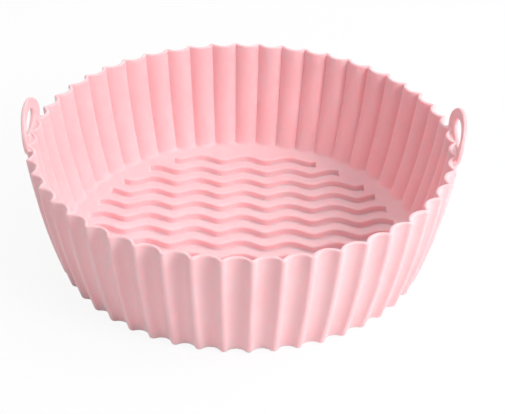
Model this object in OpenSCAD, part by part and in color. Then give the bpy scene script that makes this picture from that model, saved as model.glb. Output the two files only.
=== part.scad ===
// Round silicone liner for an air fryer basket: fluted wall, two ear handles with
// finger slots, and a floor with wavy drip grooves. All sizes are in millimetres.
// The liner stands on z = 0, its axis is the z axis, and the ears lie on the x axis.

/* [Bowl] */
// Diameter over the flute ridges at the rim
rim_d = 200; // [185:1:220]
// Diameter over the flute ridges at the foot
foot_d = 175; // [165:1:180]
// Height from the foot to the rim
body_h = 57.5; // [44:0.5:70]
// How far the wall bows outward at half its height
wall_bow = 1.6; // [0:0.1:2.5]
// Thickness of the silicone wall
wall_t = 1.8; // [1.4:0.1:2.2]
// Width of the bevel along both edges of the rim
rim_bevel = 0.5; // [0.2:0.1:0.6]

/* [Flutes] */
// Number of flutes round the wall
flute_n = 50; // [40:2:56]
// Depth of a flute at the rim, from the groove to the crest of the panel
flute_depth = 3.2; // [2.2:0.1:3.8]

/* [Floor] */
// Thickness of the floor
floor_t = 3.8; // [3.8:0.1:4.5]
// Bevel where the wall meets the floor inside
floor_blend = 1; // [0.5:0.1:1.5]
// Depth of the drip grooves
groove_depth = 3.2; // [1:0.1:3.2]
// Width of a drip groove
groove_w = 6.1; // [3.5:0.1:6.5]
// Distance from one drip groove to the next
groove_pitch = 11.3; // [9:0.1:14]
// Length of one wave of a drip groove
wave_len = 23.2; // [16:0.1:32]
// Height of the waves above and below the middle of their groove
wave_amp = 2.1; // [0:0.05:2.5]
// Plain ring left between the ends of the grooves and the ridges of the foot
floor_ring = 11.3; // [9:0.1:20]

/* [Ears] */
// Width of an ear along the wall
ear_w = 36; // [30:1:44]
// Height of an ear above the rim
ear_rise = 14.6; // [12:0.1:20]
// How far an ear reaches down the outside of the wall
ear_drop = 8.2; // [6:0.1:14]
// Thickness of an ear
ear_t = 2; // [1.6:0.1:2.6]
// How far the outer face of an ear stands out beyond the ridges
ear_proud = 0.6; // [0.3:0.1:0.8]
// Width of the finger slot
slot_w = 20; // [14:0.5:22]
// Height of the finger slot
slot_h = 9.8; // [6:0.1:10]
// Height of the bottom edge of the finger slot above the rim
slot_lift = 0.2; // [0:0.1:1]

/* [Hidden] */

// Facets: steps of a panel, steps of a ridge, levels of the wall, steps of a wave
panel_n = 6;
ridge_n = 4;
level_n = 3;
wave_n = 8;
outline_n = 48;
slot_n = 32;

rim_r = rim_d / 2;
foot_r = foot_d / 2;
flute_a = 360 / flute_n;
half_a = flute_a / 2;

// The first flute is turned so that a ridge stands in the middle of each ear.
function ridge_angle(k) = k * flute_a;

// Radius over the ridges at height z
function ridge_r(z) =
    let (u = z / body_h)
    foot_r + (rim_r - foot_r) * u + wall_bow * 4 * u * (1 - u);

// One flute seen from above is an arc that bulges inward between two sharp grooves.
// Its grooves lie at radius v, and arc(v) gives the arc's radius, the distance of its
// centre from the axis, and half its angle.
function groove_r(z) = ridge_r(z) - wall_t;
function arc(v) =
    let (
        c = v * sin(half_a),
        s = flute_depth * (v + wall_t) / rim_r - v * (1 - cos(half_a)),
        q = (c * c + s * s) / (2 * s)
    )
    [q, v * cos(half_a) - s + q, asin(c / q)];

// Turns a point of the first flute to flute k and moves it outward by the given shift.
function placed(p, k, z, shift) =
    let (
        r = norm(p) + shift,
        a = atan2(p[1], p[0]) + ridge_angle(k) + half_a
    )
    [r * cos(a), r * sin(a), z];

// The surface at a distance t outside the inner face, one flute: ridge and channel.
function skin_flute(z, t) =
    let (
        v = groove_r(z),
        g = arc(v),
        tip = [v * cos(half_a), -v * sin(half_a)],
        a1 = atan2(-tip[1], g[1] - tip[0]),
        ridge = [
            for (i = [0 : ridge_n / 2 - 1])
            let (a = -half_a + (a1 + half_a) * i / (ridge_n / 2))
            tip + t * [cos(a), sin(a)]
        ],
        channel = [
            for (i = [0 : panel_n])
            let (a = -g[2] + 2 * g[2] * i / panel_n)
            [g[1] - (g[0] - t) * cos(a), (g[0] - t) * sin(a)]
        ],
        back = [
            for (i = [1 : ridge_n / 2 - 1])
            let (p = ridge[ridge_n / 2 - i])
            [p[0], -p[1]]
        ]
    )
    concat(ridge, channel, back);

// The inner face of one flute: the groove and the panel's arc up to the next groove.
function panel_flute(z) =
    let (g = arc(groove_r(z)))
    [
        for (i = [0 : panel_n - 1])
        let (a = -g[2] + 2 * g[2] * i / panel_n)
        [g[1] - g[0] * cos(a), g[0] * sin(a)]
    ];

function skin_ring(z, t, shift, k0, k1) = [
    for (k = [k0 : k1])
    for (p = skin_flute(z, t)) placed(p, k, z, shift)
];
function panel_ring(z, shift) = [
    for (k = [0 : flute_n - 1])
    for (p = panel_flute(z)) placed(p, k, z, shift)
];

skin_n = ridge_n + panel_n;
web_r = groove_r(floor_t) - flute_depth - floor_blend - 2.5;
web_ring = [for (k = [0 : flute_n - 1]) web_r * [cos(ridge_angle(k)), sin(ridge_angle(k))]];

// The wall with the outer part of the floor: one closed loft through rings of points,
// up the outside, over the rim and down the inside.
module wall() {
    top = body_h - rim_bevel;
    low = floor_t + floor_blend;
    outer_z = [for (i = [0 : level_n]) top * i / level_n];
    inner_z = [for (i = [0 : level_n]) top + (low - top) * i / level_n];
    outside = concat(
        [for (z = outer_z) skin_ring(z, wall_t, 0, 0, flute_n - 1)],
        [skin_ring(body_h, wall_t, -rim_bevel, 0, flute_n - 1)]
    );
    inside = concat(
        [panel_ring(body_h, rim_bevel)],
        [for (z = inner_z) panel_ring(z, 0)],
        [panel_ring(floor_t, -floor_blend)]
    );
    hole = [
        for (z = [0, floor_t])
        for (p = web_ring) [p[0], p[1], z]
    ];
    out_n = skin_n * flute_n;
    in_n = panel_n * flute_n;
    in_0 = len(outside) * out_n;
    hole_0 = in_0 + len(inside) * in_n;
    rim_o = (len(outside) - 1) * out_n;
    base_i = in_0 + (len(inside) - 1) * in_n;
    points = concat(
        [for (ring = outside) each ring],
        [for (ring = inside) each ring],
        hole
    );
    bands = concat(
        [
            for (l = [0 : len(outside) - 2])
            for (i = [0 : out_n - 1])
            let (j = (i + 1) % out_n, a = l * out_n, b = a + out_n)
            each [[a + i, b + i, b + j], [a + i, b + j, a + j]]
        ],
        [
            for (l = [0 : len(inside) - 2])
            for (i = [0 : in_n - 1])
            let (j = (i + 1) % in_n, a = in_0 + l * in_n, b = a + in_n)
            each [[a + i, b + i, b + j], [a + i, b + j, a + j]]
        ]
    );
    // Flat faces, flute by flute: rim, underside, floor and the hole for the disc
    flats = [
        for (k = [0 : flute_n - 1])
        let (
            n = (k + 1) % flute_n,
            o = k * skin_n,
            p = k * panel_n
        )
        each concat(
            [
                for (i = [0 : panel_n - 1])
                [
                    rim_o + o + ridge_n / 2 + i,
                    in_0 + p + i,
                    in_0 + (p + i + 1) % in_n,
                    rim_o + o + ridge_n / 2 + i + 1
                ]
            ],
            [
                for (i = [0 : ridge_n / 2 - 1])
                [rim_o + o + i, in_0 + p, rim_o + o + i + 1]
            ],
            [
                for (i = [0 : ridge_n / 2 - 1])
                [
                    rim_o + o + ridge_n / 2 + panel_n + i,
                    in_0 + (p + panel_n) % in_n,
                    rim_o + (o + ridge_n / 2 + panel_n + i + 1) % out_n
                ]
            ],
            [
                concat(
                    [hole_0 + k],
                    [for (i = [0 : skin_n]) (o + i) % out_n],
                    [hole_0 + n]
                ),
                concat(
                    [hole_0 + flute_n + n],
                    [for (i = [panel_n : -1 : 0]) base_i + (p + i) % in_n],
                    [hole_0 + flute_n + k]
                ),
                [hole_0 + k, hole_0 + n, hole_0 + flute_n + n, hole_0 + flute_n + k]
            ]
        )
    ];
    polyhedron(points, concat(bands, flats), convexity = 12);
}

// Middle line of a wave, and the place where it reaches the plain ring
groove_r_end = foot_r - floor_ring;
row_n = floor((groove_r_end - wave_amp - groove_w) / groove_pitch);
function wave_y(x) = wave_amp * cos(360 * x / wave_len);
function wave_end(row, x, left) =
    left == 0 ? x :
    let (y = abs(row) + wave_y(x) * (row < 0 ? -1 : 1))
    wave_end(row, sqrt(max(1, groove_r_end * groove_r_end - y * y)), left - 1);

// A drip groove seen from above, its edges square to the wave's direction
module groove_shape(row) {
    end = wave_end(row, sqrt(max(1, groove_r_end * groove_r_end - row * row)), 12);
    step = wave_len / wave_n;
    count = floor(end / step - 0.3);
    xs = concat([-end], [for (i = [-count : count]) i * step], [end]);
    function edge(x, side) =
        let (slope = -wave_amp * sin(360 * x / wave_len) * 2 * PI / wave_len)
        [x, row + wave_y(x)] + side * groove_w / 2 * [-slope, 1] / norm([slope, 1]);
    polygon(concat(
        [for (x = xs) edge(x, 1)],
        [for (i = [len(xs) - 1 : -1 : 0]) edge(xs[i], -1)]
    ));
}

module floor_disc() {
    difference() {
        linear_extrude(floor_t)
            polygon(web_ring);
        for (i = [-row_n : row_n])
            translate([0, 0, floor_t - groove_depth])
                linear_extrude(groove_depth + 1)
                    groove_shape(i * groove_pitch);
    }
}

// Slope of an ear: it follows the wall's slope just under the rim.
ear_slope = (rim_r - ridge_r(body_h - ear_drop)) / ear_drop;
ear_in = rim_r + ear_proud - ear_t;
fill_z = body_h - rim_bevel - 0.4;

// An oval seen along the x axis
module oval(w, h, n, depth) {
    rotate([90, 0, 90])
        linear_extrude(depth)
            polygon([
                for (i = [0 : n - 1])
                [w / 2 * cos(360 * i / n), h / 2 * sin(360 * i / n)]
            ]);
}

// Room inside the wall's middle line beside the ear, so that the ear's root stops there
module ear_bed() {
    z0 = body_h - ear_drop - 3;
    z1 = fill_z + 0.2;
    reach = ceil((ear_w / 2 / rim_r * 180 / PI) / flute_a) + 1;
    n = skin_n * 2 * reach + 1;
    function bed(z) = concat(
        [for (p = skin_ring(z, wall_t / 2, 0, -reach, reach - 1)) p],
        [placed(skin_flute(z, wall_t / 2)[0], reach, z, 0)],
        [for (s = [1, -1]) [rim_r / 2 * cos(reach * flute_a), s * rim_r / 2 * sin(reach * flute_a), z]]
    );
    m = n + 2;
    polyhedron(
        concat(bed(z0), bed(z1)),
        concat(
            [[for (i = [0 : m - 1]) i]],
            [[for (i = [m - 1 : -1 : 0]) m + i]],
            [
                for (i = [0 : m - 1])
                let (j = (i + 1) % m)
                each [[i, m + i, m + j], [i, m + j, j]]
            ]
        ),
        convexity = 8
    );
}

module ear() {
    up = ear_rise + 2;
    down = ear_drop + 2;
    out = ear_in + ear_t;
    root = groove_r(body_h - ear_drop) - flute_depth - 1;
    spread = ear_w / 2 / root * 180 / PI + 6;
    difference() {
        intersection() {
            rotate([0, 0, -spread])
                rotate_extrude(angle = 2 * spread, $fn = 360)
                    polygon([
                        [root, body_h - down],
                        [out - ear_slope * down, body_h - down],
                        [out + ear_slope * up, body_h + up],
                        [ear_in + ear_slope * up, body_h + up],
                        [ear_in + ear_slope * (fill_z - body_h), fill_z],
                        [root, fill_z]
                    ]);
            translate([0, 0, body_h + (ear_rise - ear_drop) / 2])
                oval(ear_w, ear_rise + ear_drop, outline_n, rim_r + 20);
        }
        ear_bed();
        translate([rim_r / 2, 0, body_h + slot_lift + slot_h / 2])
            oval(slot_w, slot_h, slot_n, rim_r);
    }
}

module liner() {
    color([0.93, 0.7, 0.72])
        union() {
            wall();
            floor_disc();
            ear();
            rotate([0, 0, 180])
                ear();
        }
}

liner();
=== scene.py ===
"""Looks of the air fryer liner: one moulded piece of pink silicone on a white floor."""
import math

import bmesh
import bpy
import numpy as np
from mathutils import Matrix, Vector
from mathutils.geometry import tessellate_polygon


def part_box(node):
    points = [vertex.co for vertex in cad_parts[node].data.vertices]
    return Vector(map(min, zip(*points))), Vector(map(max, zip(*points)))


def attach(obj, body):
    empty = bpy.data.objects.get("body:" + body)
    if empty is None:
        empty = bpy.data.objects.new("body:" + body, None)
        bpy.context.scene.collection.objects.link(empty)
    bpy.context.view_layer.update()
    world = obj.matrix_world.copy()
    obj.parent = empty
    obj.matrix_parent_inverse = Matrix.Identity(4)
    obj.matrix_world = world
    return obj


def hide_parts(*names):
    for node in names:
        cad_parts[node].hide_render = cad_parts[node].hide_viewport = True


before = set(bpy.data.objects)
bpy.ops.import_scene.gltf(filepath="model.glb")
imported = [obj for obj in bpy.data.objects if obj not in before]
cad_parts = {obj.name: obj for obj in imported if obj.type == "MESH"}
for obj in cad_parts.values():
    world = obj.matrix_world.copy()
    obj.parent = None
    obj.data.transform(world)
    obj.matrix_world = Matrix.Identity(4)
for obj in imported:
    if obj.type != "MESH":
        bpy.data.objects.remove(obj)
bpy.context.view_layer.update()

# Units: the shapes are worked out in millimetres and written to the meshes in metres.
MM = 0.001
cad_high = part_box("liner")[1]

# Ears
EAR_W = 36.0
EAR_RISE = 14.6
EAR_DROP = 8.2
EAR_T = 2.0
EAR_PROUD = 0.6
SLOT_W = 20.0
SLOT_H = 9.8
SLOT_LIFT = 0.2

# Bowl and flutes
BODY_H = cad_high.z / MM - EAR_RISE
RIM_R = 100.0
FOOT_R = 87.5
WALL_BOW = 1.6
WALL_T = 1.8
FLUTE_N = 50
FLUTE_DEPTH = 3.2

# Floor and its drip grooves, whose width is taken between the walls, below the shoulders
FLOOR_T = 3.8
GROOVE_DEPTH = 3.2
GROOVE_W = 5.3
GROOVE_PITCH = 11.3
WAVE_LEN = 23.2
WAVE_AMP = 2.1
ROWS_EACH_SIDE = 6
FLOOR_RING = 11.3
GROOVE_END_R = FOOT_R - FLOOR_RING

# Rounding of the moulded edges
RIM_ROUND = 0.7
RIM_FALL = 1.2
FOOT_ROUND = 1.5
FLOOR_FILLET = 1.2
VALLEY_ROUND = 0.3
SHOULDER_ROUND = 0.8
GROOVE_FILLET = 0.4
GROOVE_CORNER = 0.5
EAR_ROUND = 0.7

# The first strip of flat surface beside a rounding; in a groove it is narrower, for its corners
FLAT_STRIP = 0.2
GROOVE_STRIP = 0.05

# The same under the foot, as a share of the wall's thickness
FOOT_STRIP = 0.15

# The root behind an ear stays this far inside the ear's outline, above its lower end and below the rim
FILL_INSET = 0.1
FILL_LIFT = 0.15
FILL_GAP = 0.5

# Where wall_ring lies halfway through the wall
MID_WALL = 0.5

# In the photograph the soft left ear leans in at its top
LEFT_EAR_LEAN = 1.2

# Fineness of the mesh
RIDGE_STEPS = 8
PANEL_STEPS = 14
WALL_LEVELS = 12
ROUND_STEPS = 4
WAVE_STEPS = 15
WAVE_SAMPLES = 1500
WAVE_MARGIN = 10
END_STEPS = 8
EAR_STEPS = 72
FILL_ROWS = 16
FILL_COLUMNS = 64
SHARP_ANGLE = math.radians(40)

HALF_FLUTE = math.pi / FLUTE_N


def ridge_radius(z):
    """Radius over the ridges at height z."""
    u = z / BODY_H
    return FOOT_R + (RIM_R - FOOT_R) * u + WALL_BOW * 4 * u * (1 - u)


def flute_section(z, lift, tip_r):
    """One flute seen from above: a round tip of radius tip_r and the panel's arc, moved inward by lift."""
    v = ridge_radius(z) - WALL_T
    chord = v * math.sin(HALF_FLUTE)
    rise = FLUTE_DEPTH * (v + WALL_T) / RIM_R - v * (1 - math.cos(HALF_FLUTE))
    arc_r = (chord ** 2 + rise ** 2) / (2 * rise)
    centre = v * math.cos(HALF_FLUTE) - rise + arc_r
    reach = arc_r + lift
    tip = centre * math.cos(HALF_FLUTE) - math.sqrt(reach ** 2 - (centre * math.sin(HALF_FLUTE)) ** 2)
    tip_x, tip_y = tip * math.cos(HALF_FLUTE), -tip * math.sin(HALF_FLUTE)
    turn = math.atan2(-tip_y, centre - tip_x)
    half = RIDGE_STEPS // 2
    a = -HALF_FLUTE + (turn + HALF_FLUTE) * np.arange(half) / half
    before = np.stack([tip_x + tip_r * np.cos(a), tip_y + tip_r * np.sin(a)], 1)
    a = -turn + 2 * turn * np.arange(PANEL_STEPS + 1) / PANEL_STEPS
    panel = np.stack([centre - (reach - tip_r) * np.cos(a), (reach - tip_r) * np.sin(a)], 1)
    after = before[:0:-1] * [1, -1]
    return np.concatenate([before, panel, after])


def wall_ring(z, inward):
    """A closed ring at height z. inward runs from 0 on the outer face to 1 on the inner face."""
    return fluted_ring(z, VALLEY_ROUND * inward, WALL_T + (VALLEY_ROUND - WALL_T) * inward)


def fluted_ring(z, lift, tip_r):
    """The flute's section repeated round the axis, with the shape that it has at height z."""
    one = flute_section(z, lift, tip_r)
    turns = (2 * np.arange(FLUTE_N) + 1) * HALF_FLUTE
    cos, sin = np.cos(turns)[:, None], np.sin(turns)[:, None]
    x = one[:, 0] * cos - one[:, 1] * sin
    y = one[:, 0] * sin + one[:, 1] * cos
    return np.stack([x.ravel(), y.ravel(), np.full(x.size, z)], 1)


def quarter(steps):
    """Angles of a quarter turn, both ends included."""
    return [math.pi / 2 * i / steps for i in range(steps + 1)]


class Shell:
    """Collects points and faces of one closed mesh."""

    def __init__(self):
        self.points = []
        self.faces = []

    def add(self, points):
        start = len(self.points)
        self.points.extend(points)
        return list(range(start, start + len(points)))

    def bridge(self, ring, after):
        """Quads between two closed rings with as many points."""
        n = len(ring)
        for i in range(n):
            j = (i + 1) % n
            self.faces.append((ring[i], ring[j], after[j], after[i]))

    def fill(self, *rings, up=True):
        """Flat triangles inside the first ring and outside the others."""
        order = [i for ring in rings for i in ring]
        lines = [[Vector(self.points[i]) for i in ring] for ring in rings]
        for tri in tessellate_polygon(lines):
            a, b, c = (self.points[order[i]] for i in tri)
            area = (b[0] - a[0]) * (c[1] - a[1]) - (b[1] - a[1]) * (c[0] - a[0])
            ids = [order[i] for i in tri]
            self.faces.append(ids if (area > 0) == up else ids[::-1])

    def fill_bar(self, ring, steps):
        """Flat quads across a long bar, whose near side has so many steps and whose far side mirrors it."""
        half = len(ring) // 2
        near, far = ring[:steps + 1], ring[half:half + steps + 1][::-1]
        for i in range(steps):
            self.faces.append((near[i], near[i + 1], far[i + 1], far[i]))
        self.faces.append(ring[steps:half + 1])
        self.faces.append(ring[half + steps:] + ring[:1])

    def to_object(self, name):
        mesh = bpy.data.meshes.new(name)
        mesh.from_pydata([tuple(c * MM for c in p) for p in self.points], [], self.faces)
        mesh.validate()
        obj = bpy.data.objects.new(name, mesh)
        bpy.context.scene.collection.objects.link(obj)
        return obj


def wall_rings():
    """Rings from the underside up the outside, over the rim and down the inside to the floor."""
    foot = FOOT_ROUND / WALL_T
    rings = [wall_ring(0, foot + FOOT_STRIP)]
    for a in quarter(ROUND_STEPS):
        rings.append(wall_ring(FOOT_ROUND * (1 - math.cos(a)), foot * (1 - math.sin(a))))
    top = BODY_H - RIM_FALL
    for i in range(1, WALL_LEVELS):
        rings.append(wall_ring(FOOT_ROUND + (top - FOOT_ROUND) * i / WALL_LEVELS, 0))
    share = RIM_ROUND / WALL_T
    for a in quarter(ROUND_STEPS):
        rings.append(wall_ring(top + RIM_FALL * math.sin(a), share * (1 - math.cos(a))))
    top = BODY_H - RIM_ROUND
    for a in reversed(quarter(ROUND_STEPS)):
        rings.append(wall_ring(top + RIM_ROUND * math.sin(a), 1 - share * (1 - math.cos(a))))
    low = FLOOR_T + FLOOR_FILLET
    for i in range(1, WALL_LEVELS):
        rings.append(wall_ring(top + (low - top) * i / WALL_LEVELS, 1))
    for a in quarter(ROUND_STEPS):
        shift = FLOOR_FILLET * (1 - math.cos(a))
        tip = VALLEY_ROUND * (1 + a)
        rings.append(fluted_ring(low - FLOOR_FILLET * math.sin(a), shift + tip, tip))
    rings.append(fluted_ring(FLOOR_T, shift + FLAT_STRIP + tip, tip))
    return rings


def wave_y(x):
    """The middle line of a groove, above and below its row."""
    return WAVE_AMP * np.cos(2 * math.pi * x / WAVE_LEN)


def groove_end(row):
    """Where the wave's middle line meets the circle that the grooves end on, found step by step."""
    end = math.sqrt(GROOVE_END_R ** 2 - row ** 2)
    for _ in range(END_STEPS):
        end = math.sqrt(GROOVE_END_R ** 2 - (row + wave_y(end)) ** 2)
    return end


def groove_outline(row, out):
    """Outline of one groove moved outward by out, and its steps along a side.

    It is a bar bent along the wave, cut off across the rows and rounded at its corners.
    """
    end = groove_end(row)
    straight = end - GROOVE_CORNER
    inset = GROOVE_W / 2 - GROOVE_CORNER
    r = GROOVE_CORNER + out
    n = round(2 * straight / WAVE_LEN * WAVE_STEPS)
    lower = [(-straight + 2 * straight * i / n, -inset - r) for i in range(n + 1)]
    lower += [(straight + r * math.sin(a), -inset - r * math.cos(a)) for a in quarter(ROUND_STEPS)[1:]]
    lower += [(straight + r * math.cos(a), inset + r * math.sin(a)) for a in quarter(ROUND_STEPS)[:-1]]
    xs = np.linspace(-end - WAVE_MARGIN, end + WAVE_MARGIN, WAVE_SAMPLES)
    slope = np.gradient(wave_y(xs), xs)
    size = np.hypot(1, slope)
    points = []
    for x, across in lower + [(-x, -across) for x, across in lower]:
        y = row + float(np.interp(x, xs - across * slope / size, wave_y(xs) + across / size))
        points.append((x, y))
    return points, n


def groove_profile():
    """Pairs of outward shift and depth, from the floor's top over the shoulder to the groove's bottom."""
    pairs = [(SHOULDER_ROUND + FLAT_STRIP, 0)]
    for a in quarter(ROUND_STEPS):
        pairs.append((SHOULDER_ROUND * (1 - math.sin(a)), SHOULDER_ROUND * (1 - math.cos(a))))
    for a in quarter(ROUND_STEPS - 1):
        pairs.append((-GROOVE_FILLET * (1 - math.cos(a)), GROOVE_DEPTH - GROOVE_FILLET * (1 - math.sin(a))))
    pairs.append((-GROOVE_FILLET - GROOVE_STRIP, GROOVE_DEPTH))
    return pairs


def make_bowl():
    """Wall, rim, foot and grooved floor as one closed mesh."""
    shell = Shell()
    rings = [shell.add(ring.tolist()) for ring in wall_rings()]
    for ring, after in zip(rings, rings[1:]):
        shell.bridge(ring, after)
    shell.fill(rings[0], up=False)
    holes = []
    for i in range(-ROWS_EACH_SIDE, ROWS_EACH_SIDE + 1):
        loops = []
        for out, depth in groove_profile():
            outline, steps = groove_outline(i * GROOVE_PITCH, out)
            loops.append(shell.add([(x, y, FLOOR_T - depth) for x, y in outline]))
        for ring, after in zip(loops, loops[1:]):
            shell.bridge(ring, after)
        shell.fill_bar(loops[-1], steps)
        holes.append(loops[0])
    shell.fill(rings[-1], *holes)
    return shell.to_object("liner_bowl")


EAR_SLOPE = (RIM_R - ridge_radius(BODY_H - EAR_DROP)) / EAR_DROP
EAR_MID_R = RIM_R + EAR_PROUD - EAR_T / 2
EAR_MID_Z = BODY_H + (EAR_RISE - EAR_DROP) / 2
EAR_HALF_H = (EAR_RISE + EAR_DROP) / 2
SLOT_MID_Z = BODY_H + SLOT_LIFT + SLOT_H / 2


def ear_point(y, z, out):
    """A point of the right ear: y and z across its face, and out from the middle of its thickness."""
    r = EAR_MID_R + EAR_SLOPE * (z - BODY_H) + out
    return (math.sqrt(r * r - y * y), y, z)


def make_ear_plate():
    """The oval plate with its finger slot: a rounded section carried round the slot."""
    shell = Shell()
    loops = []
    half_t = EAR_T / 2
    for i in range(EAR_STEPS):
        t = 2 * math.pi * i / EAR_STEPS
        inner = Vector((SLOT_W / 2 * math.cos(t), SLOT_MID_Z + SLOT_H / 2 * math.sin(t)))
        outer = Vector((EAR_W / 2 * math.cos(t), EAR_MID_Z + EAR_HALF_H * math.sin(t)))
        width = (outer - inner).length
        section = []
        for a in quarter(ROUND_STEPS):
            section.append((width - EAR_ROUND * (1 - math.cos(a)), half_t - EAR_ROUND * (1 - math.sin(a))))
        section += [(width * k / 4, half_t) for k in (3, 2, 1)]
        for a in quarter(ROUND_STEPS):
            section.append((EAR_ROUND * (1 - math.sin(a)), half_t - EAR_ROUND * (1 - math.cos(a))))
        section += [(w, -n) for w, n in reversed(section)]
        along = (outer - inner) / width
        points = []
        for w, n in section:
            p = inner + along * w
            points.append(ear_point(p.x, p.y, n))
        loops.append(shell.add(points))
    for k, loop in enumerate(loops):
        shell.bridge(loops[(k + 1) % EAR_STEPS], loop)
    return shell.to_object("ear_plate")


def make_ear_fill():
    """The solid root between the ear and the wall's middle: it closes the channels behind the ear."""
    shell = Shell()
    top = BODY_H - FILL_GAP
    bottom = EAR_MID_Z - EAR_HALF_H + FILL_LIFT
    rows, columns = FILL_ROWS, FILL_COLUMNS
    grids = {"front": [], "back": []}
    for i in range(rows + 1):
        z = bottom + (top - bottom) * math.sin(math.pi / 2 * i / rows)
        half_w = EAR_W / 2 * math.sqrt(1 - ((z - EAR_MID_Z) / EAR_HALF_H) ** 2) - FILL_INSET
        ring = wall_ring(z, MID_WALL)
        angle = np.arctan2(ring[:, 1], ring[:, 0])
        order = np.argsort(angle)
        radius = np.hypot(ring[:, 0], ring[:, 1])
        front, back = [], []
        for j in range(columns + 1):
            y = half_w * (2 * j / columns - 1)
            front.append(ear_point(y, z, 0))
            a = math.atan2(y, front[-1][0])
            r = float(np.interp(a, angle[order], radius[order]))
            back.append((math.sqrt(r * r - y * y), y, z))
        grids["front"].append(shell.add(front))
        grids["back"].append(shell.add(back))
    f, b = grids["front"], grids["back"]
    for i in range(rows):
        for j in range(columns):
            shell.faces.append((f[i][j], f[i][j + 1], f[i + 1][j + 1], f[i + 1][j]))
            shell.faces.append((b[i][j], b[i + 1][j], b[i + 1][j + 1], b[i][j + 1]))
    for j in range(columns):
        shell.faces.append((f[0][j], b[0][j], b[0][j + 1], f[0][j + 1]))
        shell.faces.append((f[rows][j], f[rows][j + 1], b[rows][j + 1], b[rows][j]))
    for i in range(rows):
        shell.faces.append((f[i][0], f[i + 1][0], b[i + 1][0], b[i][0]))
        shell.faces.append((f[i][columns], b[i][columns], b[i + 1][columns], f[i + 1][columns]))
    return shell.to_object("ear_fill")


def lean_inward(mesh, shift):
    """Bends the ear toward the bowl: by shift at its top, by nothing at its lower end."""
    low = EAR_MID_Z - EAR_HALF_H
    for vertex in mesh.vertices:
        vertex.co.x -= shift * MM * max(0, (vertex.co.z / MM - low) / (2 * EAR_HALF_H)) ** 2


def join_solid(base, other):
    """base becomes the union of both solids; other is used up."""
    modifier = base.modifiers.new("union", "BOOLEAN")
    modifier.operation = "UNION"
    modifier.solver = "EXACT"
    modifier.object = other
    depsgraph = bpy.context.evaluated_depsgraph_get()
    mesh = bpy.data.meshes.new_from_object(base.evaluated_get(depsgraph))
    base.modifiers.clear()
    base.data = mesh
    bpy.data.objects.remove(other)


def make_liner():
    """The whole liner as one closed mesh."""
    liner = make_bowl()
    for turn, lean in ((0, 0), (math.pi, LEFT_EAR_LEAN)):
        ear = make_ear_fill()
        join_solid(ear, make_ear_plate())
        lean_inward(ear.data, lean)
        ear.data.transform(Matrix.Rotation(turn, 4, "Z"))
        join_solid(liner, ear)
    liner.name = "silicone_liner"
    liner.data.name = "silicone_liner"
    liner.data.shade_smooth()
    liner.data.set_sharp_from_angle(angle=SHARP_ANGLE)
    return liner


def srgb(*values):
    """Linear colour of three sRGB values from 11 to 255, above the curve's straight start."""
    return tuple(((v / 255 + 0.055) / 1.055) ** 2.4 for v in values) + (1.0,)


def new_material(name):
    material = bpy.data.materials.new(name)
    material.use_nodes = True
    tree = material.node_tree
    tree.nodes.clear()
    output = tree.nodes.new("ShaderNodeOutputMaterial")
    return material, tree, output


# The pink's two shades, in sRGB
PINK = (248, 203, 207)
PALE_PINK = (251, 207, 211)


def silicone_material():
    """Soft satin silicone: an even pink with a faint mottle and a fine matt grain."""
    material, tree, output = new_material("silicone")
    shader = tree.nodes.new("ShaderNodeBsdfPrincipled")
    shader.inputs["Roughness"].default_value = 0.42
    shader.inputs["IOR"].default_value = 1.41
    shader.inputs["Subsurface Weight"].default_value = 1.0
    shader.inputs["Subsurface Radius"].default_value = (1.0, 0.25, 0.25)
    shader.inputs["Subsurface Scale"].default_value = 0.0014
    shader.inputs["Sheen Weight"].default_value = 0.08
    shader.inputs["Sheen Roughness"].default_value = 0.5
    place = tree.nodes.new("ShaderNodeTexCoord")
    mottle = tree.nodes.new("ShaderNodeTexNoise")
    mottle.inputs["Scale"].default_value = 45
    mottle.inputs["Detail"].default_value = 3
    colours = tree.nodes.new("ShaderNodeValToRGB")
    colours.color_ramp.elements[0].position = 0.35
    colours.color_ramp.elements[0].color = srgb(*PINK)
    colours.color_ramp.elements[1].position = 0.65
    colours.color_ramp.elements[1].color = srgb(*PALE_PINK)
    grain = tree.nodes.new("ShaderNodeTexNoise")
    grain.inputs["Scale"].default_value = 1400
    grain.inputs["Detail"].default_value = 2
    bump = tree.nodes.new("ShaderNodeBump")
    bump.inputs["Strength"].default_value = 0.12
    bump.inputs["Distance"].default_value = 0.0001
    link = tree.links.new
    link(place.outputs["Object"], mottle.inputs["Vector"])
    link(place.outputs["Object"], grain.inputs["Vector"])
    link(mottle.outputs["Fac"], colours.inputs["Fac"])
    link(colours.outputs["Color"], shader.inputs["Base Color"])
    link(grain.outputs["Fac"], bump.inputs["Height"])
    link(bump.outputs["Normal"], shader.inputs["Normal"])
    link(shader.outputs["BSDF"], output.inputs["Surface"])
    return material


def seen_directly(tree):
    """A socket that is 1 for rays that show the studio: from the camera, or mirrored or bent by a surface."""
    path = tree.nodes.new("ShaderNodeLightPath")
    socket = path.outputs["Is Camera Ray"]
    for kind in ("Is Glossy Ray", "Is Transmission Ray"):
        either = tree.nodes.new("ShaderNodeMath")
        either.operation = "MAXIMUM"
        tree.links.new(socket, either.inputs[0])
        tree.links.new(path.outputs[kind], either.inputs[1])
        socket = either.outputs["Value"]
    return socket


FLOOR_ALBEDO = 0.93
FLOOR_OWN_WHITE = 0.9
FLOOR_RADIUS = 3.0
FLOOR_GAP = 0.0001


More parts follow.
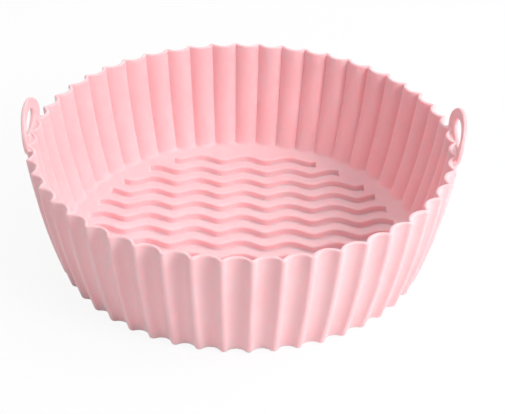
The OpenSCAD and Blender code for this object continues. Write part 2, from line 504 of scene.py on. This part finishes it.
def floor_material():
    """A white floor that keeps the shadow: for the camera, part of its light is its own white."""
    material, tree, output = new_material("white_floor")
    diffuse = tree.nodes.new("ShaderNodeBsdfDiffuse")
    diffuse.inputs["Color"].default_value = (FLOOR_ALBEDO, FLOOR_ALBEDO, FLOOR_ALBEDO, 1)
    glow = tree.nodes.new("ShaderNodeEmission")
    glow.inputs["Color"].default_value = (1, 1, 1, 1)
    glow.inputs["Strength"].default_value = 1.0
    share = tree.nodes.new("ShaderNodeMath")
    share.operation = "MULTIPLY"
    share.inputs[1].default_value = FLOOR_OWN_WHITE
    mix = tree.nodes.new("ShaderNodeMixShader")
    link = tree.links.new
    link(seen_directly(tree), share.inputs[0])
    link(share.outputs["Value"], mix.inputs["Fac"])
    link(diffuse.outputs["BSDF"], mix.inputs[1])
    link(glow.outputs["Emission"], mix.inputs[2])
    link(mix.outputs["Shader"], output.inputs["Surface"])
    return material


def make_floor():
    """A large round floor just under the liner."""
    mesh = bpy.data.meshes.new("floor")
    form = bmesh.new()
    bmesh.ops.create_circle(form, cap_ends=True, radius=FLOOR_RADIUS, segments=64)
    form.to_mesh(mesh)
    form.free()
    obj = bpy.data.objects.new("floor", mesh)
    obj.location.z = -FLOOR_GAP
    bpy.context.scene.collection.objects.link(obj)
    mesh.materials.append(floor_material())


# Lamps: azimuth and elevation in degrees, edge in metres, power in watts
LAMPS = {
    "key": (325, 34, 0.4, 5.8),
    "side_key": (355, 42, 0.4, 2.0),
    "overhead": (0, 90, 0.9, 2.9),
    "back_fill": (90, 35, 0.6, 1.6),
}
LAMPS_AROUND = (0, 0, 0.04)
SOFT_LIGHT = 0.34


def make_lamp(name, azimuth, elevation, size, power):
    """A square softbox 1 m from the liner, at these angles in degrees; azimuth runs from +X toward +Y."""
    a, e = math.radians(azimuth), math.radians(elevation)
    data = bpy.data.lights.new(name, "AREA")
    data.size = size
    data.energy = power
    lamp = bpy.data.objects.new(name, data)
    outward = Vector((math.cos(a) * math.cos(e), math.sin(a) * math.cos(e), math.sin(e)))
    lamp.location = Vector(LAMPS_AROUND) + outward
    lamp.rotation_euler = (-outward).to_track_quat("-Z", "Y").to_euler()
    bpy.context.scene.collection.objects.link(lamp)


def make_lights():
    """Four softboxes and a soft world, which is plain white where it is seen."""
    for name, settings in LAMPS.items():
        make_lamp(name, *settings)
    world = bpy.data.worlds.new("studio")
    bpy.context.scene.world = world
    world.use_nodes = True
    tree = world.node_tree
    tree.nodes.clear()
    output = tree.nodes.new("ShaderNodeOutputWorld")
    soft = tree.nodes.new("ShaderNodeBackground")
    soft.inputs["Color"].default_value = (1, 1, 1, 1)
    soft.inputs["Strength"].default_value = SOFT_LIGHT
    white = tree.nodes.new("ShaderNodeBackground")
    white.inputs["Color"].default_value = (1, 1, 1, 1)
    white.inputs["Strength"].default_value = 1.0
    mix = tree.nodes.new("ShaderNodeMixShader")
    link = tree.links.new
    link(seen_directly(tree), mix.inputs["Fac"])
    link(soft.outputs["Background"], mix.inputs[1])
    link(white.outputs["Background"], mix.inputs[2])
    link(mix.outputs["Shader"], output.inputs["Surface"])


# Camera, fitted to the rim, foot and floor in the photograph
FOCAL_PX = 1283.3
VIEW_W_PX = 505
SENSOR_MM = 36.0
VIEW_DOWN = math.radians(33.14)
VIEW_ROLL = math.radians(1.235)
VIEW_TURN = math.radians(-0.38)
RIM_CENTRE_FROM_CAMERA = np.array([-4.42, -32.48, 596.0])


def make_camera():
    """Looks down at the liner from the front; its place follows from where it sees the rim's centre."""
    forward = np.array([0, math.cos(VIEW_DOWN), -math.sin(VIEW_DOWN)])
    right = np.array([1.0, 0, 0])
    down = np.cross(forward, right)
    c, s = math.cos(VIEW_ROLL), math.sin(VIEW_ROLL)
    view = np.array([[c, -s, 0], [s, c, 0], [0, 0, 1]]) @ np.stack([right, down, forward])
    c, s = math.cos(VIEW_TURN), math.sin(VIEW_TURN)
    view = view @ np.array([[c, -s, 0], [s, c, 0], [0, 0, 1]])
    place = -view.T @ RIM_CENTRE_FROM_CAMERA + [0, 0, BODY_H]
    data = bpy.data.cameras.new("camera")
    data.sensor_width = SENSOR_MM
    data.lens = SENSOR_MM * FOCAL_PX / VIEW_W_PX
    data.clip_end = 20
    camera = bpy.data.objects.new("camera", data)
    axes = Matrix((view[0], -view[1], -view[2])).transposed().to_4x4()
    camera.matrix_world = Matrix.Translation(Vector(place * MM)) @ axes
    bpy.context.scene.collection.objects.link(camera)
    bpy.context.scene.camera = camera


make_camera()
make_lights()
make_floor()
liner = make_liner()
liner.data.materials.clear()
liner.data.materials.append(silicone_material())
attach(liner, "root")
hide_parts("liner")
bpy.context.scene.view_settings.view_transform = "Standard"
